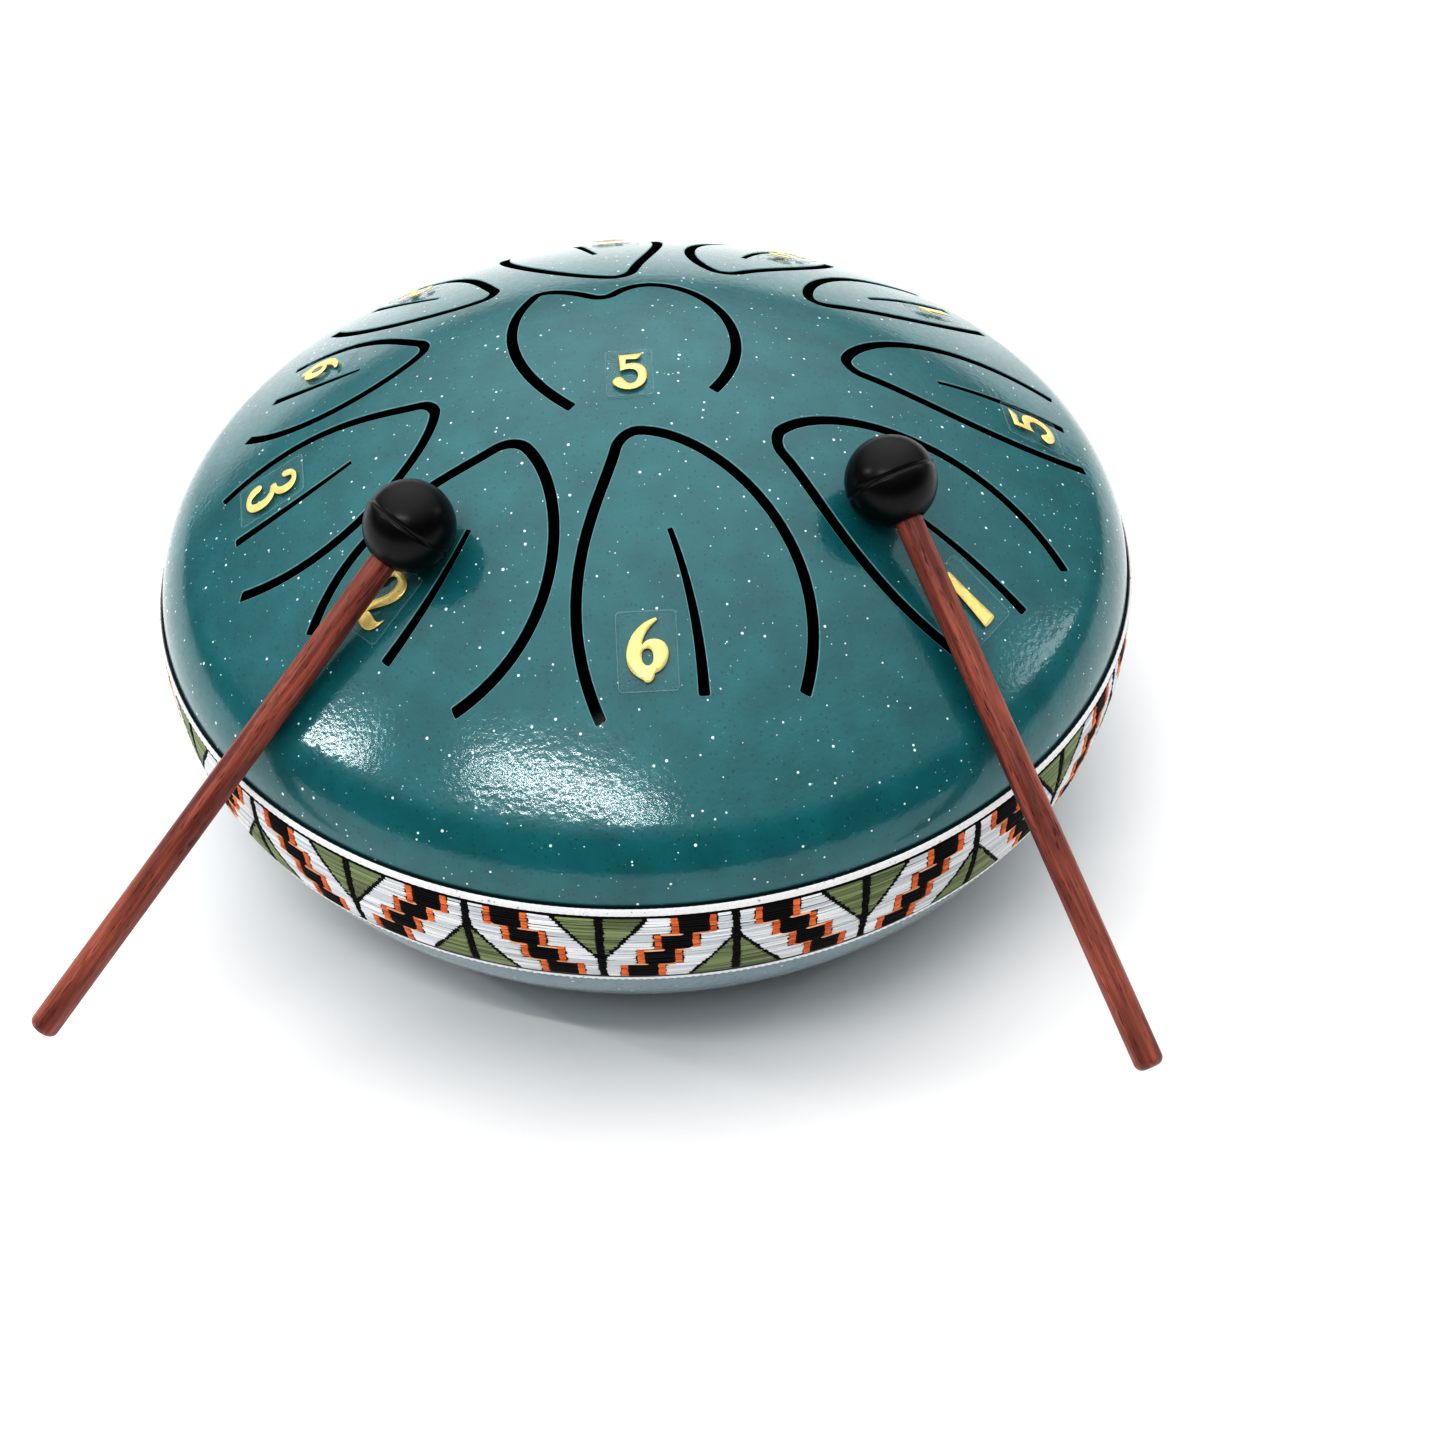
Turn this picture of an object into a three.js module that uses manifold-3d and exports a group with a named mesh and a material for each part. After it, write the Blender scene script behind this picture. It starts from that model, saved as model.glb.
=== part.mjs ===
// Steel tongue drum with a woven band round its seam, and the two mallets lying on it.
// Millimetres, +Z up. The origin is on the drum's axis, in the plane that its feet stand on.
// -Y is the player's side. An azimuth is 0 at -Y and grows towards +X.
import * as THREE from 'three';
import { mergeVertices } from 'three/addons/utils/BufferGeometryUtils.js';
import Module from 'manifold-3d';

const wasm = await Module();
wasm.setup();

// Shells
const SHELL_RADIUS = 77.2;
const SHEET = 1.2;
const DOME_HEIGHT = 42.6; // from the band's top line to the crown
const SHOULDER_RADIUS = 14.5;
const SHOULDER_SLOPE = THREE.MathUtils.degToRad(38.5); // where the shoulder arc meets the crown
const BOWL_DEPTH = 54; // of the full bowl curve, before the flat base cuts it
const BASE_DEPTH = 41.5; // from the band's top line to the flat base
const BOWL_POWER = 2.3;
const PORT_RADIUS = 14; // sound hole in the base
const SEAM_DEPTH = 9; // the two shells meet this far below the band's top line
const WELD_HEIGHT = 0.6;

// Slots
const SLOT_WIDTH = 1.65;
const SLIT_TIP_WIDTH = 0.8;
const SLOT_END = 0.45; // how far a blunt end goes past its path, in half widths
const SLOT_END_FACE = 0.75; // the flat of a blunt end, in slot widths

// Band
const RIBBON_THICKNESS = 0.5;
const RIBBON_TOP = 1.7; // below the band's top line
const RIBBON_BOTTOM = 17;
const UPPER_PIPING = { top: 0, height: 1.5, stand: 0.95 };
const LOWER_PIPING = { top: 17.2, height: 0.9, stand: 0.75 };

// Stickers
const FILM_WIDTH = 9;
const FILM_HEIGHT = 12.5;
const FILM_THICKNESS = 0.2;
const CENTRE_FILM_SCALE = 0.8;
const CENTRE_FILM = new THREE.Vector2(-0.8, -5);
const FULL_FILM_TONGUE = 12; // half width of the narrowest tongue that takes a full-size film
const FILM_OFFSET = 0.4; // sideways from the tongue's middle, in half widths
const FILM_INSET = 7.4; // from the tongue's root to the film's middle

// Feet
const FOOT_HEIGHT = 2.5;
const FOOT_RADIUS = 5.5;
const FOOT_RING = 36;
const FOOT_COUNT = 4;

// Mallets
const BALL_RADIUS = 7;
const STICK_RADIUS = 2.25;
const STICK_LENGTH = 95; // from the ball's middle to the butt
const STICK_IN_BALL = 3; // how far the stick passes the ball's middle
const GROOVE = 0.35;

const GAP = 0.3; // between pieces that touch
const AROUND = 48; // facets round the drum
const TOP_LINE = FOOT_HEIGHT + BASE_DEPTH; // height of the band's top line

// The ring of tongues, each by the azimuth of its middle, the distance of its tip and its root from
// the axis, and its half width. Low notes have the long tongues.
const TONGUES = [
  { azimuth: 7.5, tip: 16.3, root: 57.4, half: 17.2 },
  { azimuth: 59, tip: 26, root: 67, half: 15.3 },
  { azimuth: 100, tip: 33, root: 70, half: 10.6 },
  { azimuth: 130.5, tip: 37, root: 69.5, half: 8.6 },
  { azimuth: 156, tip: 33, root: 63, half: 9.8 },
  { azimuth: 187.5, tip: 26.5, root: 67, half: 12.6 },
  { azimuth: 220.5, tip: 35.5, root: 66, half: 9.5 },
  { azimuth: 247.5, tip: 36, root: 63.5, half: 10.8 },
  { azimuth: 279, tip: 31, root: 64.5, half: 13.2 },
  { azimuth: 318, tip: 23.6, root: 59.5, half: 16.4 },
];

// Where each mallet's ball touches the dome, and the way its stick points and drops from there.
const MALLETS = [
  { name: 'mallet_left', azimuth: -47.5, radius: 43.4, heading: -55.8, drop: 40 },
  { name: 'mallet_right', azimuth: 53.8, radius: 42.9, heading: 26.1, drop: 37.8 },
];

const finish = (color, roughness, metalness = 0) =>
  new THREE.MeshStandardMaterial({ color, roughness, metalness });
const TEAL_PAINT = finish(0x2f6f74, 0.35);
const SLATE_PAINT = finish(0x6d8790, 0.4);
const WELD_STEEL = finish(0x77797c, 0.45, 1);
const WOVEN_CLOTH = finish(0xcfcac0, 0.9);
const WHITE_CORD = finish(0xf0ede6, 0.85);
const GOLD_FOIL = finish(0xd9bd5a, 0.3, 1);
const BLACK_RUBBER = finish(0x141415, 0.6);
const RED_WOOD = finish(0x5a2a20, 0.5);

// ---- The drum's section -----------------------------------------------------------------------

const shoulderStart = SHELL_RADIUS - SHOULDER_RADIUS * (1 - Math.sin(SHOULDER_SLOPE));
const shoulderRise = SHOULDER_RADIUS * Math.cos(SHOULDER_SLOPE);
const crownRise = DOME_HEIGHT - shoulderRise;
// The crown is a power curve that leaves the shoulder arc at the arc's own slope.
const crownPower = (Math.tan(SHOULDER_SLOPE) * shoulderStart) / crownRise;

function domeHeight(radius) {
  if (radius < shoulderStart) {
    return TOP_LINE + DOME_HEIGHT - crownRise * (radius / shoulderStart) ** crownPower;
  }
  const out = radius - (SHELL_RADIUS - SHOULDER_RADIUS);
  return TOP_LINE + Math.sqrt(Math.max(SHOULDER_RADIUS ** 2 - out ** 2, 0));
}

function domeSlope(radius) {
  if (radius < shoulderStart) {
    return Math.atan(((crownRise * crownPower) / radius) * (radius / shoulderStart) ** crownPower);
  }
  return Math.asin(Math.min((radius - SHELL_RADIUS + SHOULDER_RADIUS) / SHOULDER_RADIUS, 1));
}

const bowlRadius = (depth) => SHELL_RADIUS * Math.sqrt(1 - (depth / BOWL_DEPTH) ** BOWL_POWER);

function bowlSlope(depth) {
  const fall = (BOWL_POWER * SHELL_RADIUS ** 2 * depth ** (BOWL_POWER - 1)) / BOWL_DEPTH ** BOWL_POWER;
  return Math.atan2(2 * bowlRadius(depth), fall);
}

// A point of the section, moved out from the shell's outer face by a distance.
function domePoint(radius, out) {
  const slope = domeSlope(radius);
  return new THREE.Vector2(
    radius + out * Math.sin(slope),
    domeHeight(radius) + out * Math.cos(slope),
  );
}

function bowlPoint(depth, out) {
  const slope = bowlSlope(depth);
  return new THREE.Vector2(
    bowlRadius(depth) + out * Math.sin(slope),
    TOP_LINE - depth - out * Math.cos(slope),
  );
}

// The dome's section from the axis out to the band's top line.
function domeCurve(out, crownSteps = 7, shoulderSteps = 5) {
  const points = [new THREE.Vector2(0, TOP_LINE + DOME_HEIGHT + out)];
  for (let i = 1; i <= crownSteps; i++) {
    points.push(domePoint((shoulderStart * i) / crownSteps, out));
  }
  for (let i = 1; i <= shoulderSteps; i++) {
    const slope = THREE.MathUtils.lerp(SHOULDER_SLOPE, Math.PI / 2, i / shoulderSteps);
    const radius = SHELL_RADIUS - SHOULDER_RADIUS * (1 - Math.sin(slope));
    points.push(domePoint(radius, out));
  }
  return points;
}

function bowlCurve(from, to, out, steps) {
  const points = [];
  for (let i = 0; i <= steps; i++) {
    points.push(bowlPoint(THREE.MathUtils.lerp(from, to, i / steps), out));
  }
  return points;
}

// ---- Solids -----------------------------------------------------------------------------------

// A turned solid about Z. The outline runs from bottom to top on its outer side.
function turned(outline, segments = AROUND) {
  const geometry = new THREE.LatheGeometry(outline, segments);
  return geometry.rotateX(Math.PI / 2);
}

const closedRing = (outline, segments) => turned([...outline, outline[0]], segments);

function toManifold(geometry) {
  const bare = geometry.clone();
  bare.deleteAttribute('normal');
  bare.deleteAttribute('uv');
  const merged = mergeVertices(bare, 1e-4);
  return new wasm.Manifold(
    new wasm.Mesh({
      numProp: 3,
      vertProperties: new Float32Array(merged.attributes.position.array),
      triVerts: new Uint32Array(merged.index.array),
    }),
  );
}

function toGeometry(solid) {
  const mesh = solid.getMesh();
  const geometry = new THREE.BufferGeometry();
  geometry.setAttribute('position', new THREE.BufferAttribute(mesh.vertProperties, mesh.numProp));
  geometry.setIndex(new THREE.BufferAttribute(mesh.triVerts, 1));
  geometry.computeVertexNormals();
  return geometry;
}

// An upright prism of an outline in plan, tall enough to pass through the dome.
function prism(outline) {
  const floor = TOP_LINE - SHEET;
  const options = { depth: DOME_HEIGHT + 2 * SHEET, bevelEnabled: false };
  const geometry = new THREE.ExtrudeGeometry(new THREE.Shape(outline), options);
  return toManifold(geometry.translate(0, 0, floor));
}

// The outline of a cut along a path, with blunt ends. Its width goes evenly from start to end.
function cutOutline(path, startWidth, endWidth) {
  const sides = [[], []];
  const across = (i) => {
    const before = path[Math.max(i - 1, 0)];
    const after = path[Math.min(i + 1, path.length - 1)];
    const along = after.clone().sub(before).normalize();
    return new THREE.Vector2(-along.y, along.x);
  };
  const halfWidth = (i) => THREE.MathUtils.lerp(startWidth, endWidth, i / (path.length - 1)) / 2;
  path.forEach((point, i) => {
    const step = across(i).multiplyScalar(halfWidth(i));
    sides[0].push(point.clone().add(step));
    sides[1].unshift(point.clone().sub(step));
  });
  const cap = (i, sign) => {
    const side = across(i).multiplyScalar(sign * halfWidth(i));
    const ahead = new THREE.Vector2(side.y, -side.x).multiplyScalar(SLOT_END);
    const middle = path[i].clone().add(ahead);
    return [SLOT_END_FACE, -SLOT_END_FACE].map((share) => middle.clone().addScaledVector(side, share));
  };
  return [...sides[0], ...cap(path.length - 1, 1), ...sides[1], ...cap(0, -1)];
}

// ---- Tongues ----------------------------------------------------------------------------------

// A point in a tongue's own frame: sideways in half widths, and outwards from tip (0) to root (1).
function onTongue(tongue, sideways, outwards) {
  const angle = THREE.MathUtils.degToRad(tongue.azimuth);
  const x = sideways * tongue.half;
  const y = THREE.MathUtils.lerp(tongue.tip, tongue.root, outwards);
  return new THREE.Vector2(
    x * Math.cos(angle) + y * Math.sin(angle),
    x * Math.sin(angle) - y * Math.cos(angle),
  );
}

// A leaf: an S-curve up one side, a small round at the tip, and a full curve down the other side.
function leafPath(tongue) {
  const at = (sideways, outwards) => onTongue(tongue, sideways, outwards);
  return [
    ...new THREE.CubicBezierCurve(at(-0.89, 1), at(-1.2, 0.55), at(-0.5, 0.24), at(-0.33, 0.045)).getPoints(9),
    at(-0.27, 0.008),
    ...new THREE.CubicBezierCurve(at(-0.17, 0), at(0.45, 0.02), at(1.5, 0.51), at(0.89, 1)).getPoints(12),
  ];
}

function slitPath(tongue) {
  const at = (sideways, outwards) => onTongue(tongue, sideways, outwards);
  return new THREE.QuadraticBezierCurve(at(-0.02, 0.42), at(0.1, 0.7), at(0.02, 0.98)).getPoints(5);
}

// The middle tongue: two lobes away from the player, joined to the dome on the player's side.
function heartPath() {
  const at = (x, y) => new THREE.Vector2(x, y);
  return [
    ...new THREE.CubicBezierCurve(at(-10, -10.5), at(-19.5, -1), at(-21, 12), at(-16, 21)).getPoints(8),
    ...new THREE.QuadraticBezierCurve(at(-15, 23), at(-12.5, 25), at(-5.2, 17.8)).getPoints(5),
    at(-4.1, 17.2),
    ...new THREE.CubicBezierCurve(at(-3.2, 18), at(5, 32), at(24, 8), at(12, -8)).getPoints(12),
  ];
}

function topShell() {
  const rim = TOP_LINE - SEAM_DEPTH + WELD_HEIGHT / 2 + GAP;
  const rimDepth = TOP_LINE - rim;
  const outer = [...bowlCurve(rimDepth, 0, 0, 2).slice(0, -1), ...domeCurve(0).reverse()];
  const inner = [...domeCurve(-SHEET), ...bowlCurve(0, rimDepth, -SHEET, 2).slice(1)];
  let shell = toManifold(closedRing([...outer, ...inner]));
  for (const tongue of TONGUES) {
    shell = shell.subtract(prism(cutOutline(leafPath(tongue), SLOT_WIDTH, SLOT_WIDTH)));
    shell = shell.subtract(prism(cutOutline(slitPath(tongue), SLIT_TIP_WIDTH, SLOT_WIDTH)));
  }
  return toGeometry(shell.subtract(prism(cutOutline(heartPath(), SLOT_WIDTH, SLOT_WIDTH))));
}

function bottomShell() {
  const rimDepth = SEAM_DEPTH + WELD_HEIGHT / 2 + GAP;
  const steps = 6;
  const outer = bowlCurve(BASE_DEPTH, rimDepth, 0, steps);
  const inner = bowlCurve(rimDepth, BASE_DEPTH - SHEET, -SHEET, steps);
  inner[steps].y = FOOT_HEIGHT + SHEET;
  const port = [
    new THREE.Vector2(PORT_RADIUS, FOOT_HEIGHT + SHEET),
    new THREE.Vector2(PORT_RADIUS, FOOT_HEIGHT),
  ];
  return closedRing([...outer, ...inner, ...port]);
}

// A ring that follows the bowl's outer face between two depths.
function bandRing(top, bottom, innerStand, outerStand, steps) {
  const outer = bowlCurve(bottom, top, outerStand, steps);
  const inner = bowlCurve(top, bottom, innerStand, steps);
  return closedRing([...outer, ...inner]);
}

const seamWeld = () =>
  bandRing(SEAM_DEPTH - WELD_HEIGHT / 2, SEAM_DEPTH + WELD_HEIGHT / 2, -SHEET, 0, 1);

const ribbon = () => bandRing(RIBBON_TOP, RIBBON_BOTTOM, GAP, GAP + RIBBON_THICKNESS, 3);

function piping({ top, height, stand }) {
  return bandRing(top, top + height, GAP, stand, 1);
}

// ---- Stickers ---------------------------------------------------------------------------------

// The film's outline in plan, where the dome's slope shortens it.
function filmPrism(middle, angle, scale) {
  const x = (FILM_WIDTH / 2) * scale;
  const y = (FILM_HEIGHT / 2) * scale * Math.cos(domeSlope(middle.length()));
  const corners = [[-x, -y], [x, -y], [x, y], [-x, y]];
  const turn = new THREE.Vector2();
  return prism(corners.map(([a, b]) => new THREE.Vector2(a, b).rotateAround(turn, angle).add(middle)));
}

// A film that follows the dome, with its foot towards the rim.
function film(middle, angle, scale = 1) {
  const skin = [...domeCurve(GAP + FILM_THICKNESS, 12).reverse(), ...domeCurve(GAP, 12)];
  return toGeometry(toManifold(closedRing(skin)).intersect(filmPrism(middle, angle, scale)));
}

// ---- Feet and mallets -------------------------------------------------------------------------

function foot() {
  const point = (x, y) => new THREE.Vector2(x, y);
  const top = FOOT_HEIGHT - GAP;
  return turned(
    [
      point(0, 0),
      point(FOOT_RADIUS * 0.8, 0),
      point(FOOT_RADIUS * 0.95, top * 0.3),
      point(FOOT_RADIUS, top),
      point(0, top),
    ],
    24,
  );
}

// The ball, with its blind hole towards the stick, which points down -Z.
function malletBall() {
  const hole = STICK_RADIUS + GAP;
  const steps = 10;
  const mouth = Math.asin(hole / BALL_RADIUS);
  const outline = [];
  for (let i = 0; i <= steps; i++) {
    const turn = THREE.MathUtils.lerp(mouth, Math.PI, i / steps);
    const radius = BALL_RADIUS - (i === steps / 2 ? GROOVE : 0);
    outline.push(new THREE.Vector2(radius * Math.sin(turn), -radius * Math.cos(turn)));
  }
  outline[steps].x = 0;
  outline.push(new THREE.Vector2(0, STICK_IN_BALL), new THREE.Vector2(hole, STICK_IN_BALL));
  outline.push(outline[0].clone());
  return turned(outline, 20);
}

function malletStick() {
  const butt = STICK_LENGTH - STICK_RADIUS;
  const outline = [];
  for (let i = 0; i <= 4; i++) {
    const turn = (Math.PI / 2) * (i / 4);
    outline.push(new THREE.Vector2(STICK_RADIUS * Math.sin(turn), -butt - STICK_RADIUS * Math.cos(turn)));
  }
  outline.push(new THREE.Vector2(STICK_RADIUS, STICK_IN_BALL - GAP));
  outline.push(new THREE.Vector2(0, STICK_IN_BALL - GAP));
  return turned(outline, 16);
}

// ---- Assembly ---------------------------------------------------------------------------------

function mesh(name, geometry, material) {
  const made = new THREE.Mesh(geometry, material);
  made.name = name;
  return made;
}

function shells() {
  const group = new THREE.Group();
  group.add(mesh('top_shell', topShell(), TEAL_PAINT));
  group.add(mesh('bottom_shell', bottomShell(), SLATE_PAINT));
  group.add(mesh('seam_weld', seamWeld(), WELD_STEEL));
  return group;
}

function band() {
  const group = new THREE.Group();
  group.add(mesh('woven_ribbon', ribbon(), WOVEN_CLOTH));
  group.add(mesh('upper_piping', piping(UPPER_PIPING), WHITE_CORD));
  group.add(mesh('lower_piping', piping(LOWER_PIPING), WHITE_CORD));
  return group;
}

function stickers() {
  const group = new THREE.Group();
  group.add(mesh('note_sticker_centre', film(CENTRE_FILM, 0, CENTRE_FILM_SCALE), GOLD_FOIL));
  TONGUES.forEach((tongue, i) => {
    const length = tongue.root - tongue.tip;
    const middle = onTongue(tongue, -FILM_OFFSET, 1 - FILM_INSET / length);
    const angle = Math.atan2(middle.x, -middle.y);
    const scale = Math.min(1, tongue.half / FULL_FILM_TONGUE);
    group.add(mesh(`note_sticker_${i + 1}`, film(middle, angle, scale), GOLD_FOIL));
  });
  return group;
}

function feet() {
  const group = new THREE.Group();
  for (let i = 0; i < FOOT_COUNT; i++) {
    const angle = (2 * Math.PI * (i + 0.5)) / FOOT_COUNT;
    const one = mesh(`rubber_foot_${i + 1}`, foot(), BLACK_RUBBER);
    one.position.set(FOOT_RING * Math.sin(angle), -FOOT_RING * Math.cos(angle), 0);
    group.add(one);
  }
  return group;
}

function mallet({ name, azimuth, radius, heading, drop }) {
  const group = new THREE.Group();
  group.add(mesh(`${name}_ball`, malletBall(), BLACK_RUBBER));
  group.add(mesh(`${name}_stick`, malletStick(), RED_WOOD));
  const centre = domePoint(radius, BALL_RADIUS + GAP);
  const place = THREE.MathUtils.degToRad(azimuth);
  group.position.set(centre.x * Math.sin(place), -centre.x * Math.cos(place), centre.y);
  const turn = THREE.MathUtils.degToRad(heading);
  const fall = THREE.MathUtils.degToRad(drop);
  const along = new THREE.Vector3(
    Math.sin(turn) * Math.cos(fall),
    -Math.cos(turn) * Math.cos(fall),
    -Math.sin(fall),
  );
  group.quaternion.setFromUnitVectors(new THREE.Vector3(0, 0, -1), along);
  return group;
}

const drum = new THREE.Group();
drum.add(shells(), band(), stickers(), feet(), ...MALLETS.map(mallet));

export default drum;
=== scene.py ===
"""A teal steel tongue drum with a woven band, and the two mallets that lie on it.

Lengths are in millimetres, as in the CAD source, until a mesh is made. +Z is up, -Y is the
player's side, and an azimuth is 0 at -Y and grows towards +X.
"""

import math
from collections import namedtuple

import bmesh
import bpy
import numpy as np
from mathutils import Matrix, Quaternion, Vector
from mathutils.geometry import delaunay_2d_cdt


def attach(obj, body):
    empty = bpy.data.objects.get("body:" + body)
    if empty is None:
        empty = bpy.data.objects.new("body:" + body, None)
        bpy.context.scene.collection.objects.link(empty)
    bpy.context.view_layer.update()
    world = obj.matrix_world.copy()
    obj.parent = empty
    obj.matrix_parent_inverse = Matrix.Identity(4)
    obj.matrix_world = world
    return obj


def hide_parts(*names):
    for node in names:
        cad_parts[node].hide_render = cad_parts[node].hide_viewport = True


MM = 0.001
SEED = 7
TINY = 1e-9

# Shells. Depths are below the band's top line.
SHELL_RADIUS = 77.2
SHEET = 1.2
DOME_HEIGHT = 42.6
SHOULDER_RADIUS = 14.5
SHOULDER_SLOPE = math.radians(38.5)
TOP_LINE = 44.0  # height of the band's top line
BOWL_DEPTH = 54.0  # where the bowl would close, if its base were not flat
BASE_DEPTH = 41.5
BOWL_POWER = 2.3
PORT_RADIUS = 14.0  # the sound hole
SEAM_DEPTH = 9.0
WELD_HEIGHT = 0.6
WELD_RIPPLE = 0.12
WELD_RIPPLES = 180
EDGE = 0.16  # how far the paint rounds off at a cut edge
LIP = 0.3  # place of the rounding's middle, in EDGEs from the cut and down from the face
AROUND = 360  # points round a shell

# Slots
SLOT_WIDTH = 1.65
SLIT_TIP_WIDTH = 0.8
SLOT_END = 0.45  # how far a blunt end goes past its path, in half widths
SLOT_STEP = 0.8  # between the points of its path

# Band
RIBBON_TOP = 1.7
RIBBON_BOTTOM = 17.0
RIBBON_INNER = 0.3  # stand over the shell
RIBBON_OUTER = 0.58
STITCH_STAND = 0.5  # of the stitches' feet, over the shell
STITCH_TOP = 2.0
STITCH_BOTTOM = 16.4
STITCH_TILT = 0.09  # how far a stitch's ends wander up or down
STITCH_WIDTHS = (0.85, 1.12)  # the narrowest and the widest, as shares of their kind's width
STITCH_HEIGHTS = (0.8, 1.15)
HALF_PERIODS = 24  # of the pattern, round the band
PHASE = math.radians(-7.07)  # azimuth of a down-pointing triangle's middle
UPPER_PIPING = {"top": 0.0, "height": 1.5, "inner": 0.3, "outer": 0.95}
LOWER_PIPING = {"top": 17.2, "height": 0.9, "inner": 0.3, "outer": 0.75}
CORD_TWIST = 0.09  # height of the cord's ridges
CORD_RIDGES = 420
CORD_SHADE_RADIUS = 0.12  # radius of the black bead beside the cord, a painted contact shadow
CORD_SHADE_GAP = 0.05

# Stickers
FILM_WIDTH = 9.0
FILM_HEIGHT = 12.5
FILM_THICKNESS = 0.2
FILM_CORNER = 0.8
FILM_RIM = 0.15  # width of the rim, whose more opaque pale film is a painted highlight where the edge catches the light
FILM_SINK = 0.04  # of the film's middle, below its rim
FILM_STAND = 0.3  # over the shell
CENTRE_FILM_SCALE = 0.8
CENTRE_FILM = (-0.8, -5.0)  # its middle, in plan
FULL_FILM_TONGUE = 12.0  # half width of the narrowest tongue that takes a film of full size
FILM_OFFSET = 0.4  # from the tongue's middle line, in half widths
FILM_INSET = 7.4  # from the tongue's root to the film's middle
DIGIT_HEIGHT = 0.8  # of the film's height
FOIL_THICKNESS = 0.06

# Feet
FOOT_HEIGHT = 2.5
FOOT_RADIUS = 5.5
FOOT_RING = 36.0
FOOT_COUNT = 4
FOOT_ROUND = 0.7
FOOT_DRAFT = 0.5
# The underside's dish and groove, as (radius, height)
FOOT_SOLE = [(0, 0.25), (1.2, 0.25), (1.5, 0), (2.6, 0), (2.8, 0.25), (3.4, 0.25), (3.6, 0)]

# Mallets
BALL_RADIUS = 7.0
STICK_RADIUS = 2.25
STICK_LENGTH = 95.0
STICK_IN_BALL = 3.0  # how far the stick's top is past the ball's middle
GROOVE = 0.35  # its depth
GROOVE_HALF = 0.45  # half its width
SOCKET_PLAY = 0.05
SOCKET_FLARE = 0.35
BUTT_ROUND = 1.3
STICK_TAPER = 0.12  # less radius at the ball

GAP = 0.3  # between pieces that are glued, welded or only touch

# The tongues, by the azimuth of their middle, the distance of tip and root from the axis, their
# half width, and the number on their sticker.
Tongue = namedtuple("Tongue", "azimuth tip root half number")
TONGUES = [
    Tongue(7.5, 16.3, 57.4, 17.2, 6),
    Tongue(59, 26, 67, 15.3, 1),
    Tongue(100, 33, 70, 10.6, 5),
    Tongue(130.5, 37, 69.5, 8.6, 1),
    Tongue(156, 33, 63, 9.8, 3),
    Tongue(187.5, 26.5, 67, 12.6, 5),
    Tongue(220.5, 35.5, 66, 9.5, 2),
    Tongue(247.5, 36, 63.5, 10.8, 6),
    Tongue(279, 31, 64.5, 13.2, 3),
    Tongue(318, 23.6, 59.5, 16.4, 2),
]
CENTRE_NUMBER = 5

# Each mallet's ball by its place on the dome, and the way its stick points, in degrees.
MALLETS = [
    {"name": "mallet_left", "azimuth": -47.5, "radius": 43.4, "heading": -55.8, "drop": 40},
    {"name": "mallet_right", "azimuth": 53.8, "radius": 42.9, "heading": 26.1, "drop": 37.8},
]

# Each number's outline, 100 units high, as a start point and then, for each stretch, the control
# points and end of its Bezier curve.
ONE = [
    (3, 50),
    [(-6, 40), (-14, 33), (-20, 30)],
    [(-20, 25), (-16, 23), (-7, 26)],
    [(-8, 0), (-10, -26), (-13, -46)],
    [(-13, -50), (-9, -50)],
    [(2, -51), (11, -49)],
    [(15, -48), (14.5, -43)],
    [(12, -10), (11, 20), (12, 46)],
    [(10, 50), (3, 50)],
]
TWO = [
    (-26, 19),
    [(-27, 39), (-12, 50), (4, 50)],
    [(22, 50), (32, 39), (32, 25)],
    [(32, 7), (16, -6), (-3, -26)],
    [(6, -23), (15, -31), (22, -31)],
    [(27, -31), (30, -27), (33, -21)],
    [(32, -39), (24, -50), (12, -50)],
    [(2, -50), (-8, -42), (-18, -43)],
    [(-23, -44), (-26, -46), (-30, -50)],
    [(-31, -36), (-16, -20), (-4, -6)],
    [(7, 7), (12, 15), (12, 26)],
    [(12, 35), (8, 40), (2, 40)],
    [(-5, 40), (-8, 33), (-8, 26)],
    [(-9, 13), (-24, 10), (-26, 19)],
]
THREE = [
    (-24, 26),
    [(-24, 42), (-10, 50), (3, 50)],
    [(19, 50), (28, 41), (28, 29)],
    [(28, 18), (21, 10), (12, 6)],
    [(25, 3), (32, -8), (32, -20)],
    [(32, -39), (18, -50), (0, -50)],
    [(-16, -50), (-29, -41), (-29, -28)],
    [(-29, -16), (-14, -15), (-11, -25)],
    [(-9, -35), (-5, -40), (1, -40)],
    [(9, -40), (13, -31), (13, -20)],
    [(13, -7), (6, -2), (-8, -1)],
    [(-12, 5), (-8, 10)],
    [(5, 11), (10, 18), (10, 28)],
    [(10, 36), (6, 41), (0, 41)],
    [(-5, 41), (-7, 37), (-8, 31)],
    [(-10, 22), (-22, 19), (-24, 26)],
]
FIVE = [
    (-19, 46),
    [(3, 45), (26, 50)],
    [(23, 39), (15, 32)],
    [(5, 32), (-5, 33)],
    [(-6, 26), (-6, 19)],
    [(2, 22), (11, 22), (18, 19)],
    [(30, 14), (34, -1), (33, -14)],
    [(32, -36), (17, -50), (0, -50)],
    [(-15, -50), (-28, -42), (-33, -28)],
    [(-30, -16), (-19, -12), (-13, -19)],
    [(-9, -26), (-5, -34), (2, -34)],
    [(12, -34), (16, -22), (16, -12)],
    [(16, -1), (10, 5), (1, 5)],
    [(-6, 5), (-12, 3), (-17, 0)],
    [(-18, 23), (-19, 46)],
]
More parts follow.
